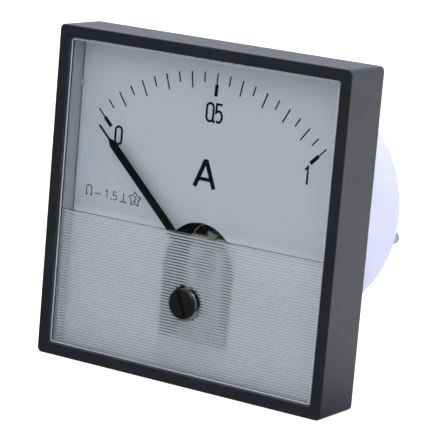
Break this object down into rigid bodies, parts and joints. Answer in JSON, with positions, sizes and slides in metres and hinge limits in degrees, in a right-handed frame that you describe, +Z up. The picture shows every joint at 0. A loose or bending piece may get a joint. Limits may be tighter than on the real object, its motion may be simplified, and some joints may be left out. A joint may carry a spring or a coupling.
{
  "type": "analog panel meter",
  "caption": "Square analog panel meter: black front frame, clear window ribbed at its foot, bar pointer over a quarter-circle scale, zero screw, round white barrel with stud terminals.",
  "frame": {"origin": "centre of the square front frame, in the plane of its rear edge, which rests on the panel", "axes": "+Y backwards, through the panel towards the terminals; +X to the right as the dial is read; +Z up"},
  "size_m": [0.072, 0.053, 0.072],
  "materials": {
    "frame_black": "moulded black plastic, fine satin",
    "window_clear": "clear moulded plastic, lower part ribbed",
    "screw_black": "moulded black plastic, satin",
    "case_white": "white, slightly translucent moulded plastic",
    "brass_plain": "turned brass",
    "dial_white": "aluminium sheet, painted matt white",
    "ink_black": "printed black ink",
    "pointer_black": "aluminium strip, painted matt black",
    "weight_brass": "coiled brass wire and cast tail weight",
    "pivot_steel": "polished hard steel",
    "former_aluminium": "bent aluminium strip",
    "winding_copper": "enamelled copper wire",
    "spring_bronze": "bright bronze strip",
    "jewel_red": "polished synthetic ruby",
    "lever_steel": "tinned sheet",
    "bridge_metal": "satin sheet metal",
    "screw_steel": "zinc plated steel",
    "carrier_black": "moulded black plastic, matt",
    "yoke_iron": "zinc plated soft iron",
    "magnet_cast": "ground cast magnet alloy",
    "stud_steel": "nickel plated stud, nut and washer",
    "tag_tinned": "tinned brass sheet",
    "shunt_alloy": "copper alloy resistance strip",
    "wire_red": "soft insulated wire"
  },
  "bodies": {
    "case": {"bezel_frame": "frame_black", "window": "window_clear", "rear_case": "case_white", "fixing_bushes": "brass_plain", "dial_plate": "dial_white", "scale_marks": "ink_black", "rear_hairspring": "spring_bronze", "front_jewel_screw": "brass_plain", "rear_jewel_screw": "brass_plain", "jewels": "jewel_red", "locknuts": "brass_plain", "lever_washer": "brass_plain", "front_bridge": "bridge_metal", "bridge_screws": "screw_steel", "rear_bridge": "bridge_metal", "movement_carrier": "carrier_black", "carrier_screws": "screw_steel", "yoke_ring": "yoke_iron", "core_magnet": "magnet_cast", "core_supports": "bridge_metal", "yoke_spacers": "brass_plain", "movement_screws": "screw_steel", "terminal_studs": "stud_steel", "terminal_nuts": "stud_steel", "terminal_washers": "stud_steel", "solder_tags": "tag_tinned", "shunt_strip": "shunt_alloy", "lead_wires": "wire_red"},
    "moving_element": {"pointer": "pointer_black", "balance_weights": "weight_brass", "tail_weight": "weight_brass", "pivots": "pivot_steel", "spring_collets": "brass_plain", "coil_former": "former_aluminium", "coil_winding": "winding_copper"},
    "zero_screw": {"zero_screw": "screw_black"},
    "zero_lever": {"zero_lever": "lever_steel", "front_hairspring": "spring_bronze"}
  },
  "joints": [
    {"name": "pointer_swing", "type": "hinge", "parent": "case", "child": "moving_element", "pos_m": [0, 0, -0.0101], "axis": [0, 1, 0], "range_deg": [-1.4, 94], "stiffness_Nm_per_rad": 0.00002},
    {"name": "zero_screw_turn", "type": "hinge", "parent": "case", "child": "zero_screw", "pos_m": [0, 0, -0.01857], "axis": [0, 1, 0], "range_deg": [-45, 45]},
    {"name": "zero_lever_turn", "type": "hinge", "parent": "case", "child": "zero_lever", "pos_m": [0, 0, -0.0101], "axis": [0, 1, 0], "range_deg": [-4.75, 4.75]}
  ],
  "couplings": [
    {"joint": "zero_screw_turn", "follows": "zero_lever_turn", "ratio": 9.47}
  ]
}
